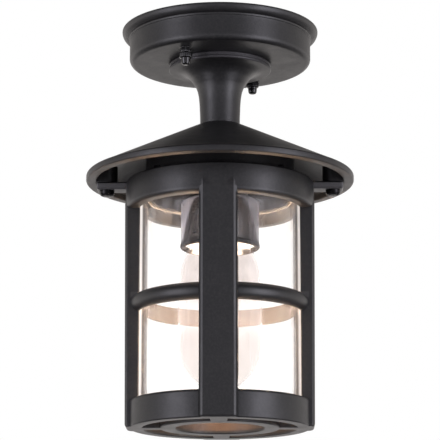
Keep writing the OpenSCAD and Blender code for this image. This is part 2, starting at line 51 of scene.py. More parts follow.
class Net:
    """A small helper that builds one material's node tree."""

    def __init__(self, name):
        self.mat = bpy.data.materials.new(name)
        self.mat.use_nodes = True
        self.nt = self.mat.node_tree
        self.nt.nodes.clear()
        self.out = self.add("ShaderNodeOutputMaterial")
        self.bsdf = self.add("ShaderNodeBsdfPrincipled")
        self.link(self.bsdf.outputs["BSDF"], self.out.inputs["Surface"])
        self.obj = self.add("ShaderNodeTexCoord").outputs["Object"]

    def add(self, kind, **props):
        n = self.nt.nodes.new(kind)
        for k, v in props.items():
            setattr(n, k, v)
        return n

    def link(self, a, b):
        self.nt.links.new(a, b)

    def put(self, socket, value):
        if hasattr(value, "is_output"):
            self.link(value, socket)
        else:
            socket.default_value = value

    def scaled(self, sx, sy, sz, source=None):
        n = self.add("ShaderNodeMapping")
        n.inputs["Scale"].default_value = (sx, sy, sz)
        self.link(source or self.obj, n.inputs["Vector"])
        return n.outputs["Vector"]

    def noise(self, scale, detail=4.0, rough=0.55, source=None, distort=0.0):
        n = self.add("ShaderNodeTexNoise")
        n.inputs["Scale"].default_value = scale
        n.inputs["Detail"].default_value = detail
        n.inputs["Roughness"].default_value = rough
        n.inputs["Distortion"].default_value = distort
        self.link(source or self.obj, n.inputs["Vector"])
        return n.outputs["Fac"]

    def voronoi(self, scale, source=None, feature="F1"):
        n = self.add("ShaderNodeTexVoronoi", feature=feature)
        n.inputs["Scale"].default_value = scale
        self.link(source or self.obj, n.inputs["Vector"])
        return n.outputs["Distance"]

    def remap(self, value, a, b, c, d, smooth=False):
        n = self.add("ShaderNodeMapRange")
        if smooth:
            n.interpolation_type = "SMOOTHSTEP"
        self.link(value, n.inputs["Value"])
        for i, v in enumerate((a, b, c, d)):
            n.inputs[1 + i].default_value = v
        return n.outputs["Result"]

    def math(self, op, a, b=0.0, clamp=False):
        n = self.add("ShaderNodeMath", operation=op)
        n.use_clamp = clamp
        self.put(n.inputs[0], a)
        self.put(n.inputs[1], b)
        return n.outputs[0]

    def mix(self, fac, a, b):
        n = self.add("ShaderNodeMix", data_type="RGBA")
        self.put(n.inputs[0], fac)
        for s, v in ((n.inputs[6], a), (n.inputs[7], b)):
            if hasattr(v, "is_output"):
                self.link(v, s)
            else:
                s.default_value = (*v, 1.0)
        return n.outputs[2]

    def xyz(self):
        n = self.add("ShaderNodeSeparateXYZ")
        self.link(self.obj, n.inputs[0])
        return n.outputs

    def bump(self, height, strength, distance, normal=None):
        n = self.add("ShaderNodeBump")
        n.inputs["Strength"].default_value = strength
        n.inputs["Distance"].default_value = distance
        self.link(height, n.inputs["Height"])
        if normal is not None:
            self.link(normal, n.inputs["Normal"])
        return n.outputs["Normal"]

    def edges(self, radius, low=0.02, high=0.22, samples=4):
        """1 near sharp edges, 0 on open surface."""
        b = self.add("ShaderNodeBevel", samples=samples)
        b.inputs["Radius"].default_value = radius
        g = self.add("ShaderNodeNewGeometry")
        d = self.add("ShaderNodeVectorMath", operation="DOT_PRODUCT")
        self.link(b.outputs["Normal"], d.inputs[0])
        self.link(g.outputs["Normal"], d.inputs[1])
        gap = self.math("SUBTRACT", 1.0, d.outputs["Value"])
        return self.remap(gap, low, high, 0.0, 1.0)

    def set(self, **values):
        for k, v in values.items():
            s = self.bsdf.inputs[k.replace("_", " ")]
            if hasattr(v, "is_output"):
                self.link(v, s)
            elif isinstance(v, tuple) and len(v) == 3:
                s.default_value = (*v, 1.0)
            else:
                s.default_value = v


MATS = {}


def coat():
    """Satin black powder coat over a sand casting: fine grain, faint wear on edges."""
    m = Net("black_coat")
    grain = m.noise(1500.0, 3.0, 0.6)
    cast = m.noise(620.0, 3.0, 0.65)
    broad = m.noise(26.0, 3.0, 0.5)
    patch = m.noise(75.0, 5.0, 0.6, distort=0.6)
    base = m.mix(m.remap(broad, 0.3, 0.7, 0.0, 1.0), (0.0060, 0.0060, 0.0066),
                 (0.0096, 0.0094, 0.0099))
    speck = m.remap(cast, 0.42, 0.68, 0.0, 0.55)
    base = m.mix(speck, base, (0.021, 0.0198, 0.0195))
    dust = m.remap(patch, 0.55, 0.78, 0.0, 0.35)
    base = m.mix(dust, base, (0.021, 0.0195, 0.0185))
    wear = m.math("MULTIPLY", m.edges(0.0007), m.remap(cast, 0.35, 0.75, 0.0, 0.55))
    base = m.mix(wear, base, (0.066, 0.062, 0.060))
    # painted lamp light: the inner face of the middle ring, the inside of the foot (warm tan, brightest across its
    # middle) and the underside of the roof's lip are coloured paler and warmer where the bulb lights them
    x, y, z = m.xyz()
    far = m.math("SQRT", m.math("ADD", m.math("MULTIPLY", x, x), m.math("MULTIPLY", y, y)))
    bore = m.remap(far, 0.0557, 0.0555, 0.0, 1.0)
    ring = m.math("MULTIPLY", m.remap(z, -0.1984, -0.1980, 0.0, 1.0),
                  m.remap(z, -0.1852, -0.1856, 0.0, 1.0))
    foot = m.remap(z, -0.2560, -0.2564, 0.0, 1.0)
    lip = m.math("MULTIPLY", m.remap(z, -0.1068, -0.1073, 0.0, 1.0),
                 m.remap(far, 0.0835, 0.0838, 0.0, 1.0))
    base = m.mix(m.math("MULTIPLY", m.math("MULTIPLY", ring, bore),
                        m.remap(patch, 0.3, 0.7, 0.7, 1.0)), base, (0.063, 0.057, 0.055))
    foot = m.math("MULTIPLY", foot, m.remap(m.math("ABSOLUTE", x), 0.005, 0.027, 1.0, 0.25))
    foot = m.math("MULTIPLY", foot, m.remap(z, -0.2734, -0.2722, 0.0, 1.0))
    base = m.mix(m.math("MULTIPLY", m.math("MULTIPLY", foot, bore),
                        m.remap(patch, 0.3, 0.7, 0.7, 1.0)), base, (0.056, 0.033, 0.020))
    base = m.mix(m.math("MULTIPLY", lip, m.remap(patch, 0.3, 0.7, 0.7, 1.0)), base,
                 (0.0165, 0.0145, 0.0130))
    # painted lamp light: a brighter tan strip on the front part of the roof lip's underside, where the bulb's light
    # through the windows falls
    inner = m.math("MULTIPLY", m.math("MULTIPLY", m.remap(y, -0.055, -0.070, 0.0, 1.0),
                                      m.remap(z, -0.1010, -0.1020, 0.0, 1.0)),
                   m.math("MULTIPLY", m.remap(far, 0.0770, 0.0785, 0.0, 1.0),
                          m.remap(far, 0.0903, 0.0899, 0.0, 1.0)))
    inner = m.math("MULTIPLY", inner, m.remap(z, -0.1066, -0.1070, 0.35, 1.0))
    base = m.mix(inner, base, (0.046, 0.036, 0.027))
    # painted highlight: a paler band round the edge of the stem's flange, strongest at the front
    flange = m.math("MULTIPLY", m.remap(z, -0.0286, -0.0283, 0.0, 1.0),
                    m.remap(z, -0.0240, -0.0243, 0.0, 1.0))
    flange = m.math("MULTIPLY", flange, m.math("MULTIPLY", m.remap(far, 0.0340, 0.0343, 0.0, 1.0),
                                               m.remap(far, 0.0358, 0.0354, 0.0, 1.0)))
    flange = m.math("MULTIPLY", flange, m.remap(y, -0.010, -0.026, 0.2, 1.0))
    base = m.mix(flange, base, (0.042, 0.040, 0.043))
    # painted lamp light: the top ring's inner face is coloured paler where the bulb lights it
    crown = m.math("MULTIPLY", m.remap(z, -0.1262, -0.1254, 0.0, 1.0),
                   m.remap(z, -0.1078, -0.1082, 0.0, 1.0))
    base = m.mix(m.math("MULTIPLY", m.math("MULTIPLY", crown, bore),
                        m.remap(patch, 0.3, 0.7, 0.6, 1.0)), base, (0.028, 0.0255, 0.0248))
    # painted highlight: the ear fronts and the middle ring's upper edge are coloured paler where the studio light
    # catches them
    ear_highlight = m.math("MULTIPLY", m.remap(m.math("ABSOLUTE", y, 0.0), 0.0080, 0.0078, 0.0, 1.0),
                  m.remap(far, 0.0625, 0.0635, 0.0, 1.0))
    ear_highlight = m.math("MULTIPLY", ear_highlight, m.math(
        "MULTIPLY", m.remap(z, -0.1130, -0.1128, 0.0, 1.0),
        m.remap(z, -0.1092, -0.1084, 1.0, 0.0)))
    base = m.mix(m.math("MULTIPLY", ear_highlight, m.remap(cast, 0.3, 0.7, 0.75, 1.0)), base,
                 (0.060, 0.058, 0.060))
    edge = m.math("MULTIPLY", m.remap(far, 0.0556, 0.0560, 0.0, 1.0), m.math(
        "MULTIPLY", m.remap(z, -0.1896, -0.1880, 0.0, 1.0),
        m.remap(z, -0.1845, -0.1849, 0.0, 1.0)))
    edge = m.math("MULTIPLY", edge, m.remap(far, 0.0609, 0.0608, 0.0, 1.0))
    base = m.mix(m.math("MULTIPLY", edge, m.remap(cast, 0.3, 0.7, 0.6, 1.0)), base,
                 (0.040, 0.038, 0.039))
    # painted shade: a near-black band along the top edges of the top ring and the ear fronts, under the roof
    shade = m.math("MULTIPLY", m.remap(z, -0.1090, -0.1085, 0.0, 1.0),
                   m.remap(z, -0.1074, -0.1078, 0.0, 1.0))
    shade = m.math("MULTIPLY", shade, m.remap(far, 0.0605, 0.0615, 0.0, 1.0))
    shade = m.math("MULTIPLY", shade, m.remap(far, 0.0815, 0.0805, 0.0, 1.0))
    base = m.mix(shade, base, (0.0004, 0.0004, 0.0004))
    # painted shade: the outer corners of the front and back straps are coloured near black, and made rougher
    ax, ay = m.math("ABSOLUTE", x), m.math("ABSOLUTE", y)
    across = m.math("MINIMUM", ax, ay)
    corner = m.math("MULTIPLY", m.remap(across, 0.0112, 0.0117, 0.0, 1.0),
                    m.remap(across, 0.0130, 0.0127, 0.0, 1.0))
    corner = m.math("MULTIPLY", corner, m.math(
        "MULTIPLY", m.remap(m.math("MAXIMUM", ax, ay), 0.0585, 0.0590, 0.0, 1.0),
        m.remap(z, -0.1272, -0.1290, 0.0, 1.0)))
    corner = m.math("MULTIPLY", corner, m.math("GREATER_THAN", ay, ax))
    base = m.mix(corner, base, (0.0004, 0.0004, 0.0004))
    rough = m.math("ADD", m.remap(patch, 0.3, 0.7, 0.37, 0.45),
                   m.remap(grain, 0.3, 0.7, -0.03, 0.03))
    rough = m.math("ADD", rough, m.math("MULTIPLY", corner, 0.40))
    n1 = m.bump(grain, 0.20, 0.00012)
    n2 = m.bump(cast, 0.30, 0.00018, n1)
    m.set(Base_Color=base, Roughness=rough, Normal=n2, Metallic=0.0)
    m.bsdf.inputs["Specular IOR Level"].default_value = 0.5
    return m.mat


def steel(name, colour, rough, wear=0.3):
    m = Net(name)
    streak = m.noise(1.0, 4.0, 0.6, source=m.scaled(300, 300, 2600))
    broad = m.noise(90.0, 4.0, 0.55)
    pits = m.voronoi(1400.0)
    dark = tuple(c * 0.55 for c in colour)
    base = m.mix(m.remap(broad, 0.3, 0.75, 0.0, 0.6), colour, dark)
    base = m.mix(m.math("MULTIPLY", m.edges(0.0004), wear), base,
                 tuple(min(1.0, c * 1.5 + 0.05) for c in colour))
    r = m.math("ADD", m.remap(streak, 0.3, 0.7, rough - 0.07, rough + 0.07),
               m.remap(broad, 0.3, 0.7, -0.04, 0.05))
    n = m.bump(streak, 0.12, 0.00006)
    n = m.bump(pits, 0.06, 0.00008, n)
    m.set(Base_Color=base, Roughness=r, Normal=n, Metallic=1.0)
    return m.mat


def plastic(name, colour, rough, spec=0.5, grain=1100.0, depth=0.00005, coat_w=0.0):
    m = Net(name)
    g = m.noise(grain, 3.0, 0.6)
    broad = m.noise(60.0, 4.0, 0.5)
    base = m.mix(m.remap(broad, 0.3, 0.7, 0.0, 1.0), colour,
                 tuple(c * 0.82 for c in colour))
    base = m.mix(m.math("MULTIPLY", m.edges(0.0004), 0.35), base,
                 tuple(min(1.0, c * 1.25 + 0.01) for c in colour))
    r = m.math("ADD", m.remap(broad, 0.3, 0.7, rough - 0.03, rough + 0.03),
               m.remap(g, 0.3, 0.7, -0.02, 0.02))
    m.set(Base_Color=base, Roughness=r, Normal=m.bump(g, 0.15, depth))
    m.bsdf.inputs["Specular IOR Level"].default_value = spec
    m.bsdf.inputs["Coat Weight"].default_value = coat_w
    m.bsdf.inputs["Coat Roughness"].default_value = 0.12
    return m.mat


def rubber(name, colour):
    m = Net(name)
    g = m.noise(1800.0, 2.0, 0.7)
    cells = m.voronoi(1500.0)
    broad = m.noise(80.0, 4.0, 0.6)
    base = m.mix(m.remap(broad, 0.3, 0.7, 0.0, 0.7), colour,
                 tuple(min(1.0, c * 1.5 + 0.008) for c in colour))
    n = m.bump(cells, 0.25, 0.0001, m.bump(g, 0.2, 0.00006))
    m.set(Base_Color=base, Roughness=m.remap(g, 0.3, 0.7, 0.7, 0.86), Normal=n)
    m.bsdf.inputs["Specular IOR Level"].default_value = 0.35
    return m.mat


def ceramic():
    m = Net("ceramic")
    speck = m.noise(900.0, 2.0, 0.7)
    broad = m.noise(50.0, 3.0, 0.5)
    base = m.mix(m.remap(broad, 0.3, 0.7, 0.0, 1.0), (0.72, 0.7, 0.64),
                 (0.62, 0.6, 0.54))
    base = m.mix(m.remap(speck, 0.66, 0.75, 0.0, 0.5), base, (0.35, 0.31, 0.26))
    m.set(Base_Color=base, Roughness=m.remap(speck, 0.3, 0.7, 0.42, 0.55),
          Normal=m.bump(speck, 0.15, 0.00006))
    return m.mat


def wire_mat(name, colour, stripe=None):
    m = Net(name)
    g = m.noise(1600.0, 2.0, 0.5)
    base = m.mix(m.remap(m.noise(200.0), 0.3, 0.7, 0.0, 1.0), colour,
                 tuple(c * 0.75 for c in colour))
    if stripe:
        w = m.add("ShaderNodeTexWave", wave_type="BANDS", bands_direction="DIAGONAL")
        w.inputs["Scale"].default_value = 110.0
        m.link(m.obj, w.inputs["Vector"])
        base = m.mix(m.remap(w.outputs["Fac"], 0.45, 0.55, 0.0, 1.0), base, stripe)
    m.set(Base_Color=base, Roughness=m.remap(g, 0.3, 0.7, 0.34, 0.42),
          Normal=m.bump(g, 0.1, 0.00003))
    return m.mat


def clear_glass(name, wave=9.0, tint=(0.985, 0.98, 0.975), rough=0.004, haze=0.004,
                limb=0.05, line_l=0.80, line_r=0.60, swirls=0.12):
    """Drawn clear glass: faint long ripples, a thin film of dust, a painted pinker tint where the wall is seen
    side-on, and a painted glow along its very edge.
    """
    m = Net(name)
    ripple = m.noise(1.0, 2.0, 0.4, source=m.scaled(wave * 3, wave * 3, wave))
    film = m.noise(45.0, 6.0, 0.7, distort=1.0)
    streak = m.noise(1.0, 4.0, 0.6, source=m.scaled(260, 260, 14))
    face = m.add("ShaderNodeLayerWeight")
    face.inputs["Blend"].default_value = 0.5
    x, y, z = m.xyz()
    far = m.math("SQRT", m.math("ADD", m.math("MULTIPLY", x, x), m.math("MULTIPLY", y, y)))
    skin = m.remap(far, 0.0530, 0.0536, 0.0, 1.0)
    side = m.remap(face.outputs["Facing"], 0.535, 0.61, 0.0, 1.0, smooth=True)
    rim = m.remap(face.outputs["Facing"], 0.72, 0.80, 0.0, 1.0, smooth=True)
    side = m.math("MULTIPLY", side, m.remap(streak, 0.3, 0.7, 0.85, 1.05))
    band = m.math("MULTIPLY", side, m.math("SUBTRACT", 1.0, rim), clamp=True)
    band = m.math("MULTIPLY", band, skin)
    # painted glow: emission along the very edge of the wall, stronger on the left, standing in for light that runs
    # round inside the wall
    line = m.math("MULTIPLY", m.math("MULTIPLY", rim, skin), m.remap(x, -0.02, 0.02, line_l, line_r))
    line = m.math("ADD", line, m.math("MULTIPLY", band, m.math("MULTIPLY", line_l, 0.10)))
    line = m.math("MULTIPLY", line, m.remap(streak, 0.3, 0.7, 0.85, 1.1))
    # painted shading: the band mask tints the glass pinker where the wall is seen side-on
    m.set(Base_Color=m.mix(band, tint, (0.92, 0.86, 0.84)),
          Emission_Color=(1.0, 0.94, 0.91), Emission_Strength=line,
          Roughness=m.remap(film, 0.5, 0.85, rough, rough + 0.02),
          Normal=m.bump(ripple, 0.02, 0.0008))
    dust = m.math("MULTIPLY", m.remap(film, 0.3, 0.8, 0.7, 1.5), haze)
    # breath of dust drawn into swirls under the glass's upper end
    swirl = m.math("MULTIPLY", m.remap(film, 0.42, 0.60, 0.0, 1.0, smooth=True),
                   m.math("MULTIPLY", m.remap(z, -0.146, -0.136, 0.0, 1.0, smooth=True), skin))
    dust = m.math("ADD", dust, m.math("MULTIPLY", swirl, swirls))
    lost = m.math("ADD", dust, m.math("MULTIPLY", m.math("MULTIPLY", rim, skin), limb))
    m.set(Transmission_Weight=m.math("SUBTRACT", 1.0, lost, clamp=True))
    m.bsdf.inputs["Transmission Weight"].default_value = 0.95
    m.bsdf.inputs["IOR"].default_value = 1.45
    m.bsdf.inputs["Specular Tint"].default_value = (0.15, 0.15, 0.15, 1.0)
    return m.mat


def bulb_glass_mat():
    """Thin clear glass lit from within, with a faint rose bloom."""
    m = Net("bulb_glass")
    film = m.noise(70.0, 5.0, 0.6, distort=0.8)
    streak = m.noise(1.0, 4.0, 0.6, source=m.scaled(420, 420, 12))
    z = m.xyz()[2]
    neck = m.remap(z, -0.158, -0.149, 0.0, 1.0, smooth=True)
    foot = m.remap(z, -0.240, -0.195, 0.0, 1.0, smooth=True)
    glow = m.mix(neck, (1.0, 0.74, 0.62), (1.0, 0.90, 0.72))
    amount = m.math("MULTIPLY", m.remap(foot, 0.0, 1.0, 0.35, 1.0),
                    m.remap(streak, 0.3, 0.7, 0.015, 0.040))
    amount = m.math("ADD", amount, m.math("MULTIPLY", neck, 0.22))
    bloom = m.math("MULTIPLY", m.remap(z, -0.216, -0.206, 0.0, 1.0, smooth=True),
                   m.remap(z, -0.182, -0.190, 0.0, 1.0, smooth=True))
    glow = m.mix(bloom, glow, (1.0, 0.93, 0.90))
    amount = m.math("ADD", amount, m.math("MULTIPLY", bloom, m.remap(streak, 0.3, 0.7, 0.055, 0.105)))
    face = m.add("ShaderNodeLayerWeight")
    face.inputs["Blend"].default_value = 0.5
    limb = m.remap(face.outputs["Facing"], 0.40, 0.80, 0.0, 1.0, smooth=True)
    tint = m.mix(foot, (0.90, 0.87, 0.855), (0.78, 0.745, 0.735))
    tint = m.mix(limb, tint, (0.985, 0.975, 0.97))
    m.set(Base_Color=m.mix(m.math("MULTIPLY", m.remap(film, 0.35, 0.75, 0.0, 1.0),
                                  m.math("SUBTRACT", 1.0, limb)), tint, (0.90, 0.87, 0.86)),
          Roughness=m.remap(film, 0.5, 0.85, 0.004, 0.03),
          Emission_Color=glow, Emission_Strength=amount,
          Normal=m.bump(film, 0.02, 0.0003))
    m.bsdf.inputs["Transmission Weight"].default_value = 1.0
    m.bsdf.inputs["IOR"].default_value = 1.07
    return m.mat


def shroud_mat():
    """Glossy black tube: a painted reflection makes it paler where its sides turn away; inside it is cream, with a
    painted glow where the lamp lights it.
    """
    m = Net("shroud_black")
    xyz = m.xyz()
    out = m.math("SQRT", m.math("ADD", m.math("MULTIPLY", xyz[0], xyz[0]),
                                m.math("MULTIPLY", xyz[1], xyz[1])))
    g = m.noise(260.0, 3.0, 0.6)
    mottle = m.noise(620.0, 4.0, 0.7, distort=0.8)
    inside = m.math("MULTIPLY", m.remap(out, 0.0252, 0.0248, 0.0, 1.0),
                    m.remap(xyz[2], -0.1225, -0.1232, 0.0, 1.0))
    inside = m.math("MULTIPLY", inside, m.remap(xyz[2], -0.1500, -0.1494, 0.0, 1.0))
    # the far part of the rolled rim gets the cream colour and painted glow as well
    turned = m.math("DIVIDE", xyz[0], out)
    arc = m.math("MULTIPLY", m.remap(turned, 0.56, 0.68, 1.0, 0.0),
                 m.remap(turned, -0.86, -0.76, 0.0, 1.0))
    arc = m.math("MULTIPLY", arc, m.remap(xyz[1], 0.001, 0.004, 0.0, 1.0))
    arc = m.math("MULTIPLY", arc, m.math(
        "MULTIPLY", m.remap(out, 0.0247, 0.0242, 0.0, 1.0),
        m.remap(xyz[2], -0.1490, -0.1494, 0.0, 1.0)))
    inside = m.math("MAXIMUM", inside, arc)
    # painted reflection: paler where the tube turns away from view, over a wider band higher up, and palest on its
    # left side
    face = m.add("ShaderNodeLayerWeight")
    face.inputs["Blend"].default_value = 0.5
    start = m.remap(xyz[2], -0.150, -0.121, 0.64, 0.20)
    turn = m.math("SUBTRACT", face.outputs["Facing"], start)
    turn = m.remap(turn, 0.0, 0.10, 0.0, 1.0, smooth=True)
    pale = m.mix(m.remap(xyz[2], -0.136, -0.128, 0.0, 1.0), (0.150, 0.144, 0.152),
                 (0.100, 0.095, 0.101))
    rim = m.remap(xyz[2], -0.1500, -0.1485, 0.0, 1.0)
    turn = m.math("MULTIPLY", turn, rim)
    pale = m.mix(m.remap(xyz[0], -0.004, 0.004, 0.75, 0.0), pale, (0.42, 0.41, 0.44))
    base = m.mix(m.remap(mottle, 0.42, 0.62, 0.0, 1.0), (0.004, 0.0032, 0.0030),
                 (0.068, 0.054, 0.050))
    base = m.mix(rim, m.mix(m.remap(mottle, 0.40, 0.66, 0.0, 1.0), (0.0015, 0.0012, 0.0010),
                            (0.012, 0.009, 0.008)), base)
    base = m.mix(m.math("MULTIPLY", turn, m.remap(g, 0.3, 0.7, 0.8, 1.0)), base, pale)
    # inside: cream colour, plus a painted glow (emission) where the lamp lights it
    base = m.mix(inside, base, (0.74, 0.69, 0.58))
    m.set(Base_Color=base,
          Roughness=m.math("ADD", m.remap(g, 0.3, 0.7, 0.26, 0.34),
                           m.math("MULTIPLY", m.math("SUBTRACT", 1.0, rim), 0.25)),
          Normal=m.bump(g, 0.08, 0.00002),
          Emission_Color=(1.0, 0.95, 0.86),
          Emission_Strength=m.math("MULTIPLY", inside, 1.60))
    m.bsdf.inputs["Specular IOR Level"].default_value = 0.28
    return m.mat


def filament():
    m = Net("filament")
    g = m.noise(900.0, 3.0, 0.6)
    band = m.noise(1.0, 1.0, 0.5, source=m.scaled(100, 100, 700))
    base = m.mix(m.remap(g, 0.3, 0.7, 0.0, 1.0), (0.95, 0.75, 0.30), (0.85, 0.6, 0.2))
    m.set(Base_Color=base, Roughness=m.remap(g, 0.3, 0.7, 0.5, 0.65),
          Emission_Color=m.mix(band, (1.0, 0.74, 0.42), (1.0, 0.80, 0.52)),
          Emission_Strength=9.0, Normal=m.bump(g, 0.2, 0.00005))
    return m.mat


def floor_mat():
    m = Net("floor_paint")
    broad = m.noise(1.5, 3.0, 0.5)
    base = m.mix(m.remap(broad, 0.3, 0.7, 0.0, 1.0), (0.80, 0.80, 0.80),
                 (0.76, 0.76, 0.765))
    m.set(Base_Color=base, Roughness=m.remap(m.noise(30.0), 0.3, 0.7, 0.6, 0.7))
    return m.mat


MATS["black_coat"] = coat()
MATS["seal_rubber"] = rubber("seal_rubber", (0.02, 0.02, 0.02))
MATS["seat_silicone"] = rubber("seat_silicone", (0.30, 0.285, 0.26))
MATS["zinc_steel"] = steel("zinc_steel", (0.55, 0.56, 0.58), 0.34)
MATS["nickel_cap"] = steel("nickel_cap", (0.66, 0.62, 0.56), 0.26)
MATS["solder"] = steel("solder", (0.46, 0.46, 0.48), 0.45)
MATS["brass"] = steel("brass", (0.72, 0.49, 0.20), 0.28)
MATS["dark_screw"] = steel("dark_screw", (0.026, 0.025, 0.026), 0.27, 0.5)
MATS["nut_black"] = plastic("nut_black", (0.004, 0.004, 0.0045), 0.15,
                            spec=0.55, grain=900.0, depth=0.00003)
MATS["white_plastic"] = plastic("white_plastic", (0.72, 0.72, 0.68), 0.42)
MATS["black_plastic"] = plastic("black_plastic", (0.014, 0.014, 0.015), 0.36)
MATS["black_gloss"] = plastic("black_gloss", (0.012, 0.011, 0.011), 0.14,
                              spec=0.8, grain=260.0, depth=0.00003, coat_w=0.6)
MATS["ceramic"] = ceramic()
MATS["wire_brown"] = wire_mat("wire_brown", (0.16, 0.06, 0.025))
MATS["wire_blue"] = wire_mat("wire_blue", (0.03, 0.11, 0.40))
MATS["wire_green"] = wire_mat("wire_green", (0.06, 0.28, 0.04), (0.75, 0.62, 0.06))
MATS["clear_glass"] = clear_glass("clear_glass")
MATS["bulb_glass"] = bulb_glass_mat()
MATS["bulb_stem_glass"] = clear_glass("bulb_stem_glass", wave=60.0, rough=0.01,
                                      haze=0.02, limb=0.0, line_l=0.0, line_r=0.0, swirls=0.0)
MATS["shroud_black"] = shroud_mat()
MATS["filament"] = filament()


# ------------------------------------------------------------- mesh helpers

def rounded(points, closed=True, steps=5):
    """(r, z[, radius]) points in mm with their corners rounded."""
    out, n = [], len(points)
    for i, p in enumerate(points):
        radius = p[2] if len(p) > 2 else 0.0
        if radius <= 0 or (not closed and i in (0, n - 1)):
            out.append((p[0], p[1]))
            continue
        a, b, c = (Vector(points[j % n][:2]) for j in (i - 1, i, i + 1))
        u, v = a - b, c - b
        lu, lv = u.length, v.length
        u.normalize()
        v.normalize()
        ang = u.angle(v)
        if ang > math.pi - 0.03:
            out.append((p[0], p[1]))
            continue
        t = min(radius / math.tan(ang / 2), lu * 0.47, lv * 0.47)
        rr = t * math.tan(ang / 2)
        centre = b + (u + v).normalized() * (rr / math.sin(ang / 2))
        p0, p1 = b + u * t - centre, b + v * t - centre
        a0, a1 = math.atan2(p0.y, p0.x), math.atan2(p1.y, p1.x)
        d = (a1 - a0 + math.pi) % (2 * math.pi) - math.pi
        for k in range(steps + 1):
            w = a0 + d * k / steps
            out.append((centre.x + rr * math.cos(w), centre.y + rr * math.sin(w)))
    return out


def spline(points, each=6):
    """A smooth curve through 2-D points."""
    out = []
    n = len(points)
    for i in range(n - 1):
        p0, p1 = Vector(points[max(i - 1, 0)]), Vector(points[i])
        p2, p3 = Vector(points[i + 1]), Vector(points[min(i + 2, n - 1)])
        for k in range(each):
            t = k / each
            q = 0.5 * (2 * p1 + (p2 - p0) * t + (2 * p0 - 5 * p1 + 4 * p2 - p3) * t * t
                       + (3 * p1 - p0 - 3 * p2 + p3) * t ** 3)
            out.append((q.x, q.y))
    out.append(tuple(points[-1]))
    return out


def finish_mesh(bm, name, sharp=38.0, merge=1e-6):
    bmesh.ops.remove_doubles(bm, verts=bm.verts, dist=merge)
    bmesh.ops.recalc_face_normals(bm, faces=bm.faces)
    for f in bm.faces:
        f.smooth = True
    for e in bm.edges:
        if len(e.link_faces) == 2:
            e.smooth = e.calc_face_angle(0.0) < math.radians(sharp)
    me = bpy.data.meshes.new(name)
    bm.to_mesh(me)
    bm.free()
    ob = bpy.data.objects.new(name, me)
    scene.collection.objects.link(ob)
    return ob


def lathe(name, profile, seg=192, at=(0.0, 0.0), closed=True, wobble=None, sharp=38.0):
    """Spins (r, z) points in mm about the upright through at. wobble(angle, r, z) may move a point's radius."""
    bm = bmesh.new()
    rings = []
    for r, z in profile:
        if r < 1e-6:
            rings.append([bm.verts.new((at[0] * MM, at[1] * MM, z * MM))] * seg)
            continue
        ring = []
        for k in range(seg):
            w = 2 * math.pi * k / seg
            rr = wobble(w, r, z) if wobble else r
            ring.append(bm.verts.new(((at[0] + rr * math.cos(w)) * MM,
                                      (at[1] + rr * math.sin(w)) * MM, z * MM)))
        rings.append(ring)
    pairs = list(zip(rings, rings[1:]))
    if closed:
        pairs.append((rings[-1], rings[0]))
    for a, b in pairs:
        for k in range(seg):
            j = (k + 1) % seg
            quad = []
            for v in (a[k], a[j], b[j], b[k]):
                if v not in quad:
                    quad.append(v)
            if len(quad) >= 3:
                try:
                    bm.faces.new(quad)
                except ValueError:
                    pass
    return finish_mesh(bm, name, sharp)


def bar(bm, a, b, r, sides=16, cap=True):
    """A straight round bar between two points, in mm."""
    a, b = Vector(a), Vector(b)
    t = (b - a).normalized()
    u = t.orthogonal().normalized()
    v = t.cross(u)
    rings = [[bm.verts.new((p + (u * math.cos(2 * math.pi * k / sides)
                                 + v * math.sin(2 * math.pi * k / sides)) * r) * MM)
              for k in range(sides)] for p in (a, b)]
    for k in range(sides):
        j = (k + 1) % sides
        bm.faces.new((rings[0][k], rings[0][j], rings[1][j], rings[1][k]))
    if cap:
        bm.faces.new(list(reversed(rings[0])))
        bm.faces.new(rings[1])


def dress(piece, slot, body, *replaced, mat=None):
    piece.data.materials.clear()
    piece.data.materials.append(MATS[mat or slot])
    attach(piece, body)
    if replaced:
        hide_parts(*replaced)
    return piece


def bevel(ob, width, segments=2, angle=35.0, weld=False):
    if weld:
        w = ob.modifiers.new("weld", "WELD")
        w.merge_threshold = 2e-6
    b = ob.modifiers.new("bevel", "BEVEL")
    b.width = width * MM
    b.segments = segments
    b.limit_method = "ANGLE"
    b.angle_limit = math.radians(angle)
    b.harden_normals = False
    b.use_clamp_overlap = True
    return b


ROOT, BULB, CAGE = "ceiling_mount", "bulb", "cage"


# --------------------------------------------------------------- ceiling pan

def quarter(cx, cy, r, a0, a1, n):
    return [(cx + r * math.cos(math.radians(a0 + (a1 - a0) * i / n)),
             cy + r * math.sin(math.radians(a0 + (a1 - a0) * i / n)))
            for i in range(n + 1)]


pan_profile = (
    [(63.4, -0.02)]
    + quarter(66.1, -1.2, 1.18, 90, 0, 8)
    + quarter(62.5, -1.2, 4.8, -3, -84, 18)
    + rounded([(62.72, -6.4), (62.62, -6.95, 0.25), (62.1, -7.35, 0.35),
               (62.1, -11)], closed=False)[1:]
    + [(62.1, -15), (62.1, -19)]
    + quarter(58.3, -20.3, 3.8, 0, -90, 14)
    + [(52, -24.1), (44, -24.1), (36, -24.1), (20, -24.1), (5.2, -24.1), (5.2, -22.1), (30, -22.1)]
    + quarter(58.3, -20.3, 1.8, -90, 0, 8)
    + [(60.1, -10), (60.1, -2.1), (63.4, -2.1)]
)
pan = lathe("pan_shell", pan_profile, 256)
dress(pan, "black_coat", ROOT, "ceiling_pan")

# ---------------------------------------------------------------------- stem

